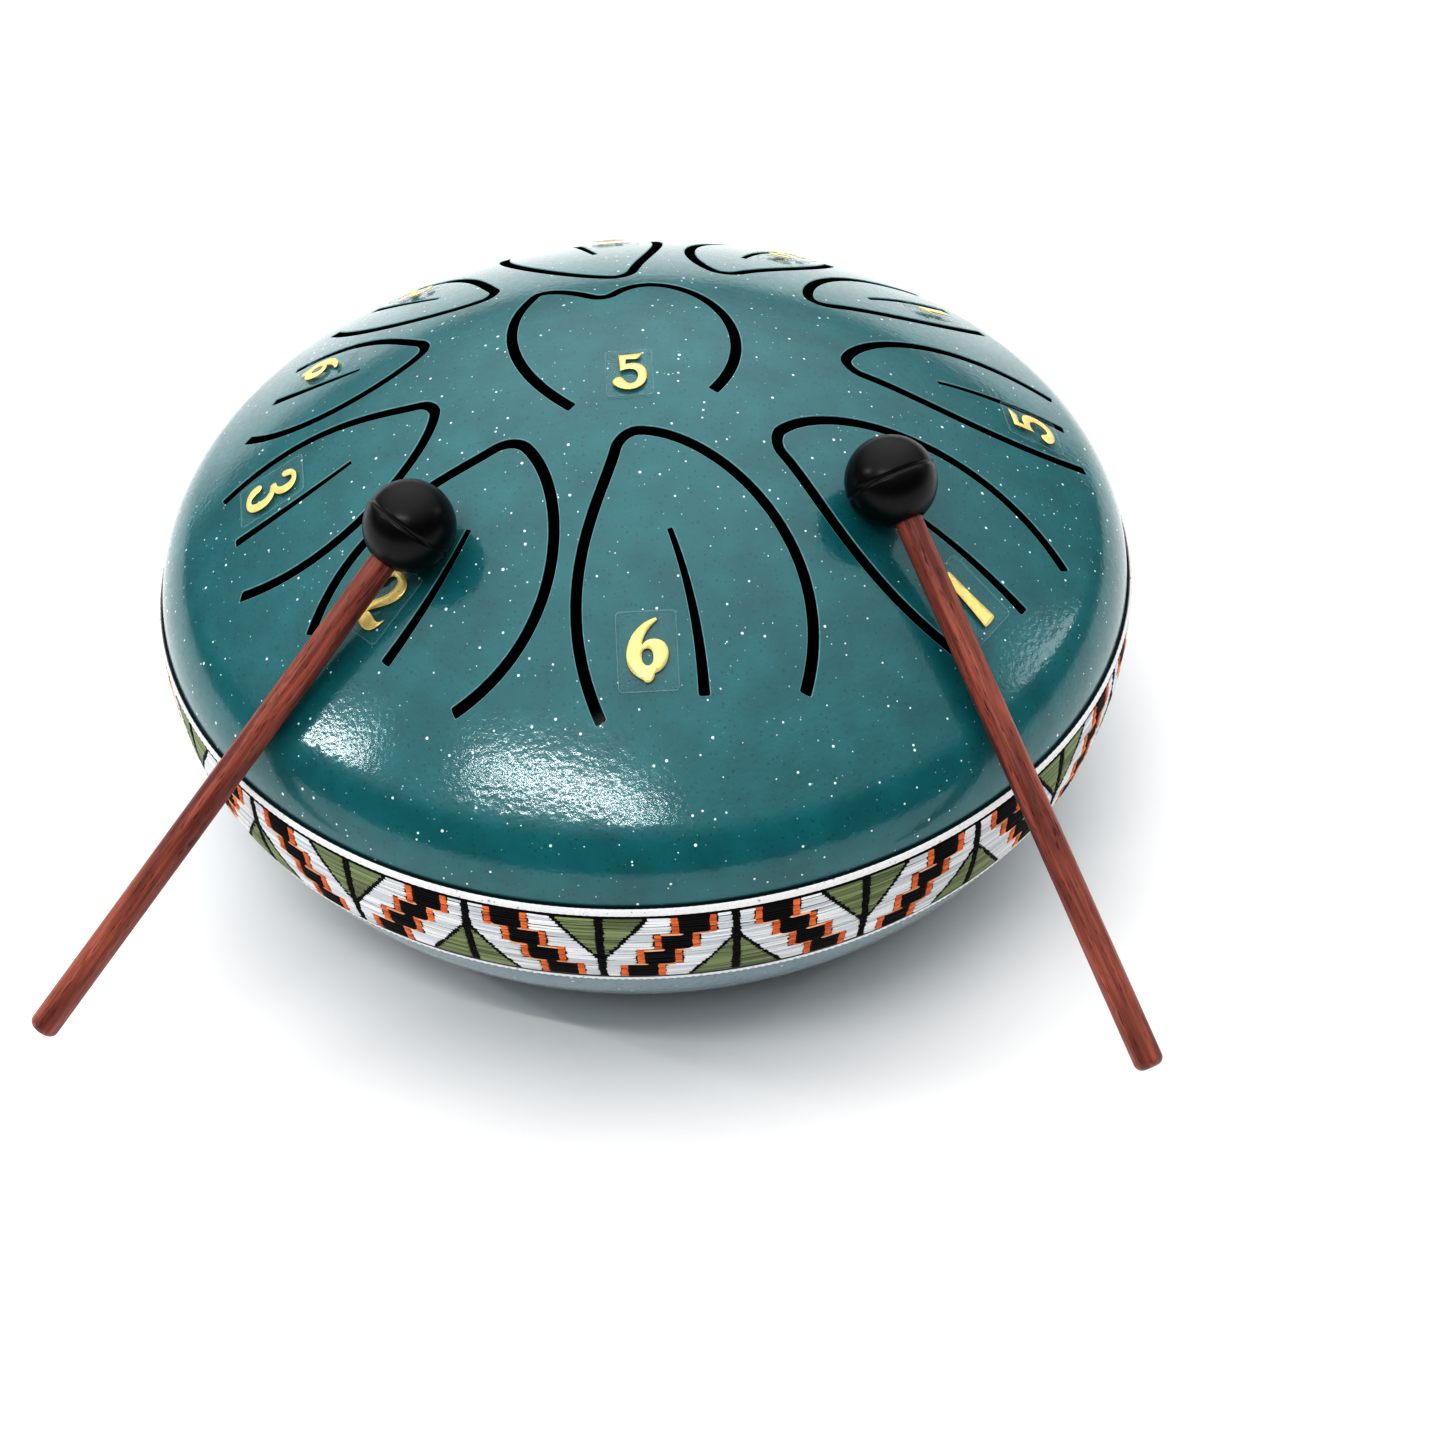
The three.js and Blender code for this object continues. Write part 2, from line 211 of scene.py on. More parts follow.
SIX = [
    (13, 49.3),
    [(-12, 42), (-31, 18), (-31, -9)],
    [(-31, -29), (-20, -39), (-7, -46)],
    [(-5, -52), (9, -51), (9.6, -36)],
    [(26, -30), (31, -16), (31, -5)],
    [(31, 9), (22, 16.5), (9.6, 16.5)],
    [(1, 16.5), (-5, 12), (-7.4, 6.9)],
    [(-5, 24), (6, 37), (16.5, 45.5)],
    [(16, 50), (13, 49.3)],
]
SIX_HOLE = [
    (0, 2),
    [(6, 2), (8.5, -4), (8.5, -11)],
    [(8.5, -19), (5, -24), (0, -24)],
    [(-6, -24), (-8.5, -17), (-8.5, -11)],
    [(-8.5, -3), (-5, 2), (0, 2)],
]
DIGITS = {1: [ONE], 2: [TWO], 3: [THREE], 5: [FIVE], 6: [SIX, SIX_HOLE]}

rng = np.random.default_rng(SEED)

# ---- The drum's section ----

SHOULDER_START = SHELL_RADIUS - SHOULDER_RADIUS * (1 - math.sin(SHOULDER_SLOPE))
CROWN_RISE = DOME_HEIGHT - SHOULDER_RADIUS * math.cos(SHOULDER_SLOPE)
CROWN_POWER = math.tan(SHOULDER_SLOPE) * SHOULDER_START / CROWN_RISE
CUT_RADIUS = 74.0  # every slot lies inside this


def dome_section(radius):
    """Height of the dome and its slope, in radians, at a distance from the axis."""
    crown = (radius / SHOULDER_START) ** CROWN_POWER
    crown_slope = np.arctan(CROWN_RISE * CROWN_POWER / radius * crown)
    out = np.clip(radius - SHELL_RADIUS + SHOULDER_RADIUS, 0, SHOULDER_RADIUS)
    on_crown = radius < SHOULDER_START
    shoulder = np.sqrt(SHOULDER_RADIUS**2 - out**2)
    height = TOP_LINE + np.where(on_crown, DOME_HEIGHT - CROWN_RISE * crown, shoulder)
    return height, np.where(on_crown, crown_slope, np.arcsin(out / SHOULDER_RADIUS))


def from_axis(plan):
    """Distances from the axis, never quite 0."""
    return np.maximum(np.hypot(*plan.T), TINY)


def dome_normal(plan):
    radius = from_axis(plan)
    slope = dome_section(radius)[1]
    outwards = plan / radius[:, None]
    return np.column_stack([outwards * np.sin(slope)[:, None], np.cos(slope)])


def on_dome(plan, out=0.0):
    """Points over the dome above plan points, moved out from the shell's outer face."""
    surface = np.column_stack([plan, dome_section(from_axis(plan))[0]])
    return surface + dome_normal(plan) * out


def wall_normal(depth):
    """The drum's side below (or above, with a depth under 0) the top line: the way it faces."""
    down = np.maximum(depth, 0.0)
    up = np.maximum(-depth, 0.0) / SHOULDER_RADIUS
    fall = BOWL_POWER * SHELL_RADIUS**2 * down ** (BOWL_POWER - 1) / BOWL_DEPTH**BOWL_POWER
    slope = np.arctan2(2 * bowl_radius(down), fall)
    radial = np.where(depth > 0, np.sin(slope), np.sqrt(1 - up**2))
    upward = np.where(depth > 0, -np.cos(slope), up)
    return radial, upward


def bowl_radius(depth):
    return SHELL_RADIUS * np.sqrt(1 - (depth / BOWL_DEPTH) ** BOWL_POWER)


def wall(depth, out=0.0):
    """Radius and height of the drum's side at a depth, moved out from its outer face."""
    up = np.maximum(-depth, 0.0)
    shoulder = SHELL_RADIUS - SHOULDER_RADIUS + np.sqrt(SHOULDER_RADIUS**2 - up**2)
    radius = np.where(depth > 0, bowl_radius(np.maximum(depth, 0.0)), shoulder)
    radial, upward = wall_normal(depth)
    return radius + out * radial, TOP_LINE - depth + out * upward


def circle(count):
    """Angles once round, without the last."""
    return np.linspace(0, 2 * math.pi, count, endpoint=False)


def around_axis(radius, azimuth, height):
    radius, azimuth, height = np.broadcast_arrays(radius, azimuth, height)
    return np.stack([radius * np.sin(azimuth), -radius * np.cos(azimuth), height], axis=-1)


# ---- Curves and plane meshes ----


def bezier(points, steps):
    """Points on a Bezier curve of any degree."""
    share = np.linspace(0, 1, steps + 1)[:, None]
    level = [np.array(p, float) for p in points]
    while len(level) > 1:
        level = [a * (1 - share) + b * share for a, b in zip(level, level[1:])]
    return level[0]


def evenly(path, spacing):
    """The same path with its points evenly spaced."""
    run = np.append(0, np.cumsum(np.hypot(*np.diff(path, axis=0).T)))
    at = np.linspace(0, run[-1], max(int(run[-1] / spacing), 2) + 1)
    return np.column_stack([np.interp(at, run, path[:, i]) for i in range(2)])


def rounded(first, corner, second, arm):
    """Joins two paths round a corner point, with a curve that takes up an arm's length of each."""
    corner = np.array(corner, float)
    first = first[np.hypot(*(first - corner).T) > arm]
    second = second[np.hypot(*(second - corner).T) > arm]
    return np.vstack([first, bezier([first[-1], corner, second[0]], 8)[1:-1], second])


def cut_outline(path, half_width, cap_steps=7):
    """The closed outline of a cut along a path, with blunt ends."""
    along = np.gradient(path, axis=0)
    along /= np.hypot(*along.T)[:, None]
    across = np.column_stack([-along[:, 1], along[:, 0]])
    offset = across * half_width[:, None]
    turn = np.linspace(0, math.pi, cap_steps + 2)[1:-1, None]
    sideways = np.sign(np.cos(turn)) * np.sqrt(np.abs(np.cos(turn)))
    ahead = SLOT_END * np.sqrt(np.sin(turn))

    def cap(i, side):
        return path[i] + side * half_width[i] * (sideways * across[i] + ahead * along[i])

    return np.vstack([path + offset, cap(-1, 1), (path - offset)[::-1], cap(0, -1)])


def inside(points, loop):
    """Whether each point is inside a closed loop, by the edges that a ray from it crosses."""
    x, y = points[:, :1], points[:, 1:]
    x0, y0 = loop.T
    x1, y1 = np.roll(x0, -1), np.roll(y0, -1)
    spans = (y0 > y) != (y1 > y)
    rise = np.where(y1 == y0, 1.0, y1 - y0)
    return (spans & (x < x0 + (y - y0) * (x1 - x0) / rise)).sum(axis=1) % 2 == 1


def between(points, loops):
    """Whether each point is inside an odd number of the loops: in the first, but not in a hole."""
    return sum(inside(points, loop).astype(int) for loop in loops) % 2 == 1


def grid_between(loops, spacing, clear=0.55):
    """A grid of triangles' corners between the loops, clear of them by a share of the spacing."""
    low, high = loops[0].min(axis=0), loops[0].max(axis=0)
    xs = np.arange(low[0], high[0], spacing)
    ys = np.arange(low[1], high[1], spacing * math.sqrt(3) / 2)
    shift = np.where(np.arange(len(ys)) % 2, spacing / 2, 0.0)
    grid = np.column_stack([(xs[None, :] + shift[:, None]).ravel(), np.repeat(ys, len(xs))])
    grid = grid[between(grid, loops)]
    for loop in loops:
        nearest = np.full(len(grid), np.inf)
        for point in loop:
            nearest = np.minimum(nearest, np.hypot(*(grid - point).T))
        grid = grid[nearest > clear * spacing]
    return grid


def numbered(loops):
    """Each loop's point numbers, when the loops' points follow each other."""
    ends = np.cumsum([len(loop) for loop in loops])
    return [np.arange(end - len(loop), end) for loop, end in zip(loops, ends)]


def filled(loops, spacing):
    """Triangles that fill the first loop, less the others. The loops' own points come first."""
    points = np.vstack([*loops, grid_between(loops, spacing)])
    edges = []
    for numbers in numbered(loops):
        edges += np.column_stack([numbers, np.roll(numbers, -1)]).tolist()
    made = delaunay_2d_cdt([Vector(p) for p in points.tolist()], edges, [], 0, 1e-7)
    if len(made[0]) != len(points):
        raise ValueError("an outline crosses itself")
    triangles = np.array(made[2])
    return points, triangles[between(points[triangles].mean(axis=1), loops)]


# ---- Pieces ----


def quads(rows, columns, wrap_rows=False, wrap_columns=False):
    """The faces of a grid of points that are numbered row by row."""
    number = np.arange(rows * columns).reshape(rows, columns)
    if wrap_rows:
        number = np.vstack([number, number[:1]])
    if wrap_columns:
        number = np.hstack([number, number[:, :1]])
    corners = [number[:-1, :-1], number[1:, :-1], number[1:, 1:], number[:-1, 1:]]
    return np.stack(corners, axis=-1).reshape(-1, 4)


def bridge(first, second):
    """The faces between two closed loops of point numbers."""
    return np.column_stack([first, second, np.roll(second, -1), np.roll(first, -1)])


def new_object(name, data):
    made = bpy.data.objects.new(name, data)
    bpy.context.scene.collection.objects.link(made)
    return made


def make_mesh(name, points, faces, materials, face_material=None, merge=False):
    """A smooth mesh object from millimetre points, with its normals outwards."""
    mesh = bpy.data.meshes.new(name)
    face_list = [list(map(int, face)) for group in faces for face in group]
    mesh.from_pydata((np.reshape(points, (-1, 3)) * MM).tolist(), [], face_list)
    for look in materials:
        mesh.materials.append(look)
    if face_material is not None:
        mesh.polygons.foreach_set("material_index", face_material)
    shape = bmesh.new()
    shape.from_mesh(mesh)
    if merge:
        bmesh.ops.remove_doubles(shape, verts=shape.verts, dist=1e-7)
    bmesh.ops.recalc_face_normals(shape, faces=shape.faces)
    shape.to_mesh(mesh)
    shape.free()
    mesh.polygons.foreach_set("use_smooth", [True] * len(mesh.polygons))
    return new_object(name, mesh)


def fit(piece, slot, *nodes, body="drum"):
    """Puts a finished piece in the frame, in place of CAD nodes."""
    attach(piece, body)
    if nodes:
        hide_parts(*nodes)
    return piece


def turned(name, outline, look, around):
    """A turned piece about Z. The outline starts and ends on the axis, or closes on itself."""
    radius, height = np.array(outline, float).T
    closes = np.allclose(outline[0], outline[-1])
    if closes:
        radius, height = radius[:-1], height[:-1]
    points = around_axis(radius[None, :], circle(around)[:, None], height[None, :])
    faces = quads(around, len(radius), wrap_rows=True, wrap_columns=closes)
    return make_mesh(name, points, [faces], [look], merge=True)


def bead(around, depth, out):
    """Points and faces of a closed bead round the drum, from its section's depth and stand."""
    radius, height = wall(depth, out)
    points = around_axis(radius, circle(around)[:, None], height)
    return points, quads(*points.shape[:2], wrap_rows=True, wrap_columns=True)


def direction(azimuth, elevation=0):
    """A unit vector from angles in degrees."""
    turn, up = math.radians(azimuth), math.radians(elevation)
    return Vector((math.sin(turn) * math.cos(up), -math.cos(turn) * math.cos(up), math.sin(up)))


def arc(centre, radius, start, end, steps):
    """Points on an arc, as (x, y), with angles from +x in degrees."""
    turn = np.radians(np.linspace(start, end, steps + 1))
    return np.column_stack([centre[0] + radius * np.cos(turn), centre[1] + radius * np.sin(turn)])


# ---- Materials ----


def srgb(red, green, blue):
    """A colour given by its display values from 0 to 255."""
    shares = [value / 255 for value in (red, green, blue)]
    linear = [c / 12.92 if c < 0.04045 else ((c + 0.055) / 1.055) ** 2.4 for c in shares]
    return (*linear, 1.0)


class Look:
    """One procedural material round a Principled shader. Sizes are in millimetres."""

    def __init__(self, name, settings):
        self.material = bpy.data.materials.new(name)
        self.material.use_nodes = True
        self.tree = self.material.node_tree
        self.shader = self.tree.nodes["Principled BSDF"]
        self.place = self.node("TexCoord").outputs["Object"]
        self.normal = None
        for socket, value in settings.items():
            self.shader.inputs[socket].default_value = value

    def feed(self, socket, value):
        """Links a socket to another, or sets it to a number or a colour."""
        if isinstance(value, bpy.types.NodeSocket):
            self.tree.links.new(value, socket)
        else:
            socket.default_value = value

    def node(self, kind, inputs=None):
        made = self.tree.nodes.new("ShaderNode" + kind)
        for name, value in (inputs or {}).items():
            self.feed(made.inputs[name], value)
        return made

    def drive(self, socket, source):
        self.feed(self.shader.inputs[socket], source)

    def noise(self, size, detail, stretch=(1, 1, 1)):
        """Noise from 0 to 1 with features of this size, longer along an axis that is stretched."""
        scale = [1 / (size * MM * s) for s in stretch]
        place = self.node("Mapping", {"Scale": scale, "Vector": self.place}).outputs[0]
        return self.node("TexNoise", {"Scale": 1.0, "Detail": detail, "Vector": place}).outputs[0]

    def spots(self, spacing, radius, soft):
        """1 in round spots of mixed sizes up to a radius, about a spacing apart, and 0 elsewhere."""
        cells = self.node("TexVoronoi", {"Scale": 1 / (spacing * MM), "Vector": self.place})
        chance = self.node("SeparateColor", {"Color": cells.outputs["Color"]}).outputs[0]
        size = self.maths("MULTIPLY", chance, radius / spacing)
        depth = self.maths("SUBTRACT", size, cells.outputs["Distance"])
        return self.ranged(depth, 0, soft / spacing)

    def maths(self, operation, first, second):
        made = self.node("Math", {0: first, 1: second})
        made.operation = operation
        return made.outputs[0]

    def ranged(self, source, low, high, to_low=0.0, to_high=1.0):
        ends = {"From Min": low, "From Max": high, "To Min": to_low, "To Max": to_high}
        return self.node("MapRange", {"Value": source, **ends}).outputs[0]

    def mixed(self, share, first, second):
        """A colour between two, each a colour or a socket."""
        made = self.node("Mix", {"Factor": share})
        made.data_type = "RGBA"
        self.feed(made.inputs[6], first)
        self.feed(made.inputs[7], second)
        return made.outputs[2]

    def cloud(self, size, detail, first, second):
        """A colour that drifts between two, in patches of a size."""
        self.drive("Base Color", self.mixed(self.noise(size, detail), first, second))

    def smear(self, size, detail, low, high):
        """A roughness that drifts between two, in patches of a size."""
        self.drive("Roughness", self.ranged(self.noise(size, detail), 0.3, 0.7, low, high))

    def tone(self):
        """The brightness that a mesh gives each of its threads, from 0 to 1."""
        made = self.node("Attribute")
        made.attribute_name = "tone"
        return made.outputs["Fac"]

    def bump(self, height, depth):
        """Raises the surface where height is 1, by a depth in millimetres."""
        inputs = {"Distance": depth * MM, "Height": height}
        if self.normal:
            inputs["Normal"] = self.normal
        self.normal = self.node("Bump", inputs).outputs[0]
        self.drive("Normal", self.normal)
        self.drive("Coat Normal", self.normal)


def paint(name, light, deep):
    """Sprayed enamel: orange peel, cloudy colour, dark grit and scattered white flecks."""
    look = Look(name, {"Coat Weight": 1.0, "Coat Roughness": 0.12, "Specular IOR Level": 0.2})
    clouds = look.ranged(look.noise(7, 3), 0.3, 0.7)
    colour = look.mixed(clouds, deep, light)
    grit = look.spots(0.75, 0.3, 0.15)
    colour = look.mixed(look.maths("MULTIPLY", grit, 0.5), colour, srgb(14, 58, 62))
    dust = look.spots(1.2, 0.16, 0.06)
    colour = look.mixed(look.maths("MULTIPLY", dust, 0.8), colour, srgb(190, 214, 214))
    flecks = look.spots(1.75, 0.27, 0.03)
    colour = look.mixed(flecks, colour, srgb(226, 240, 240))
    look.drive("Base Color", colour)
    look.smear(1.1, 2, 0.38, 0.5)
    look.bump(look.noise(0.9, 2), 0.038)
    look.bump(flecks, 0.02)
    return look.material


def edge_painted_highlight():
    """Enamel over a cut edge, coloured pale as a painted highlight on its rounding."""
    look = Look("edge_painted_highlight", {"Roughness": 0.35, "Specular IOR Level": 0.4})
    look.cloud(1.2, 3, srgb(48, 112, 116), srgb(132, 176, 178))
    look.bump(look.noise(0.4, 2), 0.02)
    return look.material


def inside_painted_shade():
    """The inside of the shells and of the slots' walls, coloured near black as painted shade."""
    look = Look("inside_painted_shade", {"Roughness": 0.8, "Specular IOR Level": 0.05})
    look.cloud(6, 4, srgb(2, 2, 3), srgb(9, 9, 10))
    look.bump(look.noise(0.6, 3), 0.02)
    return look.material


def weld_steel():
    look = Look("weld_steel", {"Metallic": 1.0})
    look.cloud(1.5, 3, srgb(96, 92, 88), srgb(148, 146, 150))
    look.smear(0.5, 2, 0.3, 0.55)
    look.bump(look.noise(0.3, 2), 0.02)
    return look.material


def thread(name, light, deep, sheen=0.25):
    """Embroidery floss: a soft gloss, fine fibres, and its own tone for each stitch."""
    look = Look(name, {"Roughness": 0.6, "Sheen Weight": sheen, "Specular IOR Level": 0.2})
    fibres = look.noise(0.22, 2)
    own_tone = look.maths("MULTIPLY", look.tone(), 0.75)
    shade = look.maths("ADD", own_tone, look.maths("MULTIPLY", fibres, 0.25))
    look.drive("Base Color", look.mixed(shade, deep, light))
    look.bump(fibres, 0.035)
    return look.material


def black_cloth():
    """Plain woven ribbon, with its weft along the band."""
    look = Look("black_cloth", {"Roughness": 0.85, "Sheen Weight": 0.15, "Specular IOR Level": 0.2})
    weft = look.noise(0.35, 1, (6, 6, 1))
    look.drive("Base Color", look.mixed(weft, srgb(7, 7, 10), srgb(24, 24, 30)))
    look.bump(weft, 0.06)
    return look.material


def white_cord():
    look = Look("white_cord", {"Roughness": 0.8, "Sheen Weight": 0.3, "Specular IOR Level": 0.25})
    fibres = look.noise(0.28, 3)
    # Grey dots with no bump of their own: painted shade in the cord's pits.
    painted_pit_shade = look.spots(1.1, 0.32, 0.1)
    colour = look.mixed(fibres, srgb(222, 222, 224), srgb(252, 252, 252))
    look.drive("Base Color", look.mixed(look.maths("MULTIPLY", painted_pit_shade, 0.6), colour, srgb(120, 122, 124)))
    look.bump(fibres, 0.05)
    return look.material


def gold_foil():
    """Pale gold foil, a little crinkled."""
    look = Look("gold_foil", {"Metallic": 0.3, "Specular IOR Level": 0.6})
    look.cloud(2.5, 3, srgb(236, 206, 122), srgb(255, 236, 160))
    look.smear(0.8, 2, 0.25, 0.42)
    look.bump(look.noise(1.6, 3), 0.02)
    return look.material


def foil_edge():
    look = Look("foil_edge", {"Metallic": 0.3, "Roughness": 0.5})
    look.cloud(0.6, 2, srgb(120, 84, 30), srgb(176, 132, 60))
    return look.material


def clear_film(name, alpha):
    """Clear polyester film: all but invisible, with a faint haze."""
    look = Look(name, {"Alpha": alpha, "Specular IOR Level": 0.5})
    look.cloud(3, 3, srgb(150, 184, 186), srgb(190, 214, 216))
    look.smear(2, 3, 0.12, 0.3)
    return look.material


def rubber(name, roughness, coat):
    """Moulded black rubber, with a faint bloom and fine grain."""
    look = Look(name, {"Coat Weight": coat, "Coat Roughness": 0.2, "Specular IOR Level": 0.2})
    look.cloud(2.2, 4, srgb(4, 4, 5), srgb(13, 13, 15))
    look.smear(0.9, 3, roughness, roughness + 0.12)
    look.bump(look.noise(0.18, 2), 0.012)
    return look.material


def red_wood():
    """Stained hardwood, its grain along the stick (Z), with open pores and a satin varnish."""
    look = Look("red_wood", {"Coat Weight": 0.18, "Coat Roughness": 0.3, "Specular IOR Level": 0.35})
    figure = look.ranged(look.noise(1.5, 3, (1, 1, 16)), 0.35, 0.65)
    grain = look.ranged(look.noise(0.32, 3, (1, 1, 22)), 0.35, 0.65)
    colour = look.mixed(figure, srgb(112, 56, 46), srgb(172, 98, 80))
    colour = look.mixed(look.maths("MULTIPLY", grain, 0.45), colour, srgb(86, 42, 34))
    pores = look.ranged(look.noise(0.2, 1, (1, 1, 14)), 0.64, 0.72)
    look.drive("Base Color", look.mixed(look.maths("MULTIPLY", pores, 0.8), colour, srgb(30, 12, 10)))
    look.drive("Roughness", look.ranged(grain, 0, 1, 0.34, 0.52))
    look.bump(pores, -0.05)
    look.bump(grain, 0.03)
    return look.material


# ---- Tongues ----


def on_tongue(tongue, points):
    """Plan points from (sideways in half widths, outwards from tip 0 to root 1)."""
    points = np.array(points, float)
    angle = math.radians(tongue.azimuth)
    x = points[:, 0] * tongue.half
    y = tongue.tip + points[:, 1] * (tongue.root - tongue.tip)
    turned_x = x * math.cos(angle) + y * math.sin(angle)
    return np.column_stack([turned_x, x * math.sin(angle) - y * math.cos(angle)])


def leaf_path(tongue):
    left = bezier(on_tongue(tongue, [(-0.89, 1), (-1.2, 0.55), (-0.5, 0.24), (-0.33, 0.045)]), 60)
    corner = on_tongue(tongue, [(-0.27, 0.008)])[0]
    right = bezier(on_tongue(tongue, [(-0.17, 0), (0.45, 0.02), (1.5, 0.51), (0.89, 1)]), 80)
    return rounded(left, corner, right, 2.1)


def slit_path(tongue):
    return bezier(on_tongue(tongue, [(-0.02, 0.42), (0.1, 0.7), (0.02, 0.98)]), 40)


def heart_path():
    left = bezier([(-10, -10.5), (-19.5, -1), (-21, 12), (-16, 21)], 50)
    lobe = bezier([(-15, 23), (-12.5, 25), (-5.2, 17.8)], 30)
    right = bezier([(-3.2, 18), (5, 32), (24, 8), (12, -8)], 80)
    return rounded(np.vstack([left, lobe]), (-4.1, 17.2), right, 2.0)


def slots():
    """Every cut in the dome, as its path and its half width along the path."""
    paths = []
    for tongue in TONGUES:
        paths.append((leaf_path(tongue), SLOT_WIDTH))
        paths.append((slit_path(tongue), SLIT_TIP_WIDTH))
    paths.append((heart_path(), SLOT_WIDTH))
    cuts = []
    for path, tip_width in paths:
        path = evenly(path, SLOT_STEP)
        cuts.append((path, np.linspace(tip_width, SLOT_WIDTH, len(path)) / 2))
    return cuts


# ---- Shells ----


def shoulder_section(rim_depth, shoulder_steps=18, rim_steps=8):
    """Radius, height and outward normal down the shoulder and the rim behind the band."""
    start = math.asin((CUT_RADIUS - SHELL_RADIUS + SHOULDER_RADIUS) / SHOULDER_RADIUS)
    slope = np.linspace(start, math.pi / 2, shoulder_steps + 1)[1:]
    rim = np.linspace(0, rim_depth, rim_steps + 1)[1:]
    depth = np.append(-SHOULDER_RADIUS * np.cos(slope), rim)
    return np.column_stack([*wall(depth), *wall_normal(depth)])


def top_shell(look, edge_look, inner_look):
    """The dome: one sheet with its slots cut through, and paint rounded over every edge."""
    cuts = slots()
    azimuth = circle(AROUND)
    rim = CUT_RADIUS * np.column_stack([np.sin(azimuth), -np.cos(azimuth)])
    loops, lips, mouths = (
        [cut_outline(path, half + wider * EDGE) for path, half in cuts] for wider in (1, LIP, 0)
    )
    plan, triangles = filled([rim, *loops], spacing=1.4)
    lip_plan, mouth_plan = np.vstack(lips), np.vstack(mouths)
    cut_points = slice(AROUND, AROUND + len(mouth_plan))
    below = plan.copy()
    below[cut_points] = mouth_plan

    section = shoulder_section(SEAM_DEPTH - WELD_HEIGHT / 2 - GAP)
    radius, height, radial, upward = section.T[:, :, None]
    sides = around_axis(radius, azimuth, height).reshape(-1, 3)
    side_normals = around_axis(radial, azimuth, upward).reshape(-1, 3)

    into_slot = np.column_stack([plan[cut_points] - mouth_plan, np.zeros(len(mouth_plan))])
    into_slot /= -np.linalg.norm(into_slot, axis=1)[:, None]
    lip_normal = dome_normal(lip_plan) + into_slot
    layers = [
        (on_dome(plan), dome_normal(plan)),
        (sides, side_normals),
        (on_dome(lip_plan, -LIP * EDGE), lip_normal),
        (on_dome(mouth_plan, -EDGE), into_slot),
        (on_dome(below, -SHEET), -dome_normal(below)),
        (sides - side_normals * SHEET, -side_normals),
    ]
    points = np.vstack([layer[0] for layer in layers])
    normals = np.vstack([layer[1] for layer in layers])
    starts = np.cumsum([0] + [len(layer[0]) for layer in layers])
    top, side, lip, mouth, under, back = starts[:-1]

    ring = np.arange(AROUND)
    faces = {"paint": [triangles], "edge": [], "inner": [triangles + under]}
    for first, second, kind in ((top, side, "paint"), (under, back, "inner")):
        faces[kind].append(bridge(ring + first, ring + second))
        for i in range(len(section) - 1):
            faces[kind].append(bridge(ring + second + i * AROUND, ring + second + (i + 1) * AROUND))
    last = (len(section) - 1) * AROUND
    faces["paint"].append(bridge(ring + side + last, ring + back + last))
    for number in numbered(loops):
        faces["edge"].append(bridge(number + top + AROUND, number + lip))
        faces["edge"].append(bridge(number + lip, number + mouth))
        faces["inner"].append(bridge(number + mouth, number + under + AROUND))
    groups = [group for kind in faces for group in faces[kind]]
    counts = [sum(map(len, faces[kind])) for kind in faces]
    face_material = np.repeat(np.arange(len(counts)), counts)
    looks = look, edge_look, inner_look
    piece = make_mesh("top_shell_painted", points, groups, looks, face_material)
    normals /= np.linalg.norm(normals, axis=1)[:, None]
    piece.data.normals_split_custom_set_from_vertices(normals.tolist())
    return fit(piece, "teal_paint", "top_shell")


def bottom_shell(look, inner_look):
    """The bowl, down to its flat base with the round sound hole."""
    rim_depth = SEAM_DEPTH + WELD_HEIGHT / 2 + GAP
    outer = np.column_stack(wall(np.linspace(rim_depth, BASE_DEPTH, 40)))
    inner = np.column_stack(wall(np.linspace(BASE_DEPTH - SHEET, rim_depth, 40), -SHEET))
    edge = arc((PORT_RADIUS + SHEET / 2, FOOT_HEIGHT + SHEET / 2), SHEET / 2, 270, 90, 10)
    floor = [(inner[0][0] * share, FOOT_HEIGHT + SHEET) for share in (0.5, 0.8)]
    base = [(outer[-1][0] * share, FOOT_HEIGHT) for share in (0.97, 0.6)]
    outline = np.vstack([outer, base, edge, floor, inner, outer[:1]])
    shell = turned("bottom_shell_painted", outline, look, AROUND)
    shell.data.materials.append(inner_look)
    middle = Vector((0, 0, TOP_LINE * MM))
    for face in shell.data.polygons:
        face.material_index = int(face.normal.dot(face.center - middle) < 0)
    return fit(shell, "slate_paint", "bottom_shell")


def seam_weld(look):
    """A weld bead with its ripples, hidden by the band."""
    around = 6 * WELD_RIPPLES
    turn = circle(12)
    ripple = WELD_RIPPLE * np.abs(np.sin(circle(around)[:, None] * WELD_RIPPLES / 2))
    depth = SEAM_DEPTH + WELD_HEIGHT / 2 * np.sin(turn)
    points, faces = bead(around, depth, -SHEET / 2 + (SHEET / 2 - ripple) * np.cos(turn))
    return fit(make_mesh("seam_weld_bead", points, [faces], [look]), "weld_steel", "seam_weld")


# ---- Band ----

CELL = 2 * math.pi * SHELL_RADIUS / HALF_PERIODS  # one half period, along the band
STEPS = 4  # stairs over the band's height
TRIANGLE_TIP = 0.32  # share of the band's height beyond the tip

# Lengths along the band, in cells
TRIANGLE_HALF = 0.345  # half width of a triangle's base
LINE_HALF = 0.026  # half width of its middle line
OUTLINE_HALF = 0.018  # half width of its outline
WHITE_CLEAR = 0.012  # between the triangle and the white
STAIR_START = 0.195  # the black stair's left edge on the first step
STAIR_WIDTH = 0.225
STAIR_SHIFT = 0.13  # from one step to the next
ORANGE_WIDTH = 0.055
SHORTEST = 0.05  # how far an olive stitch has to reach


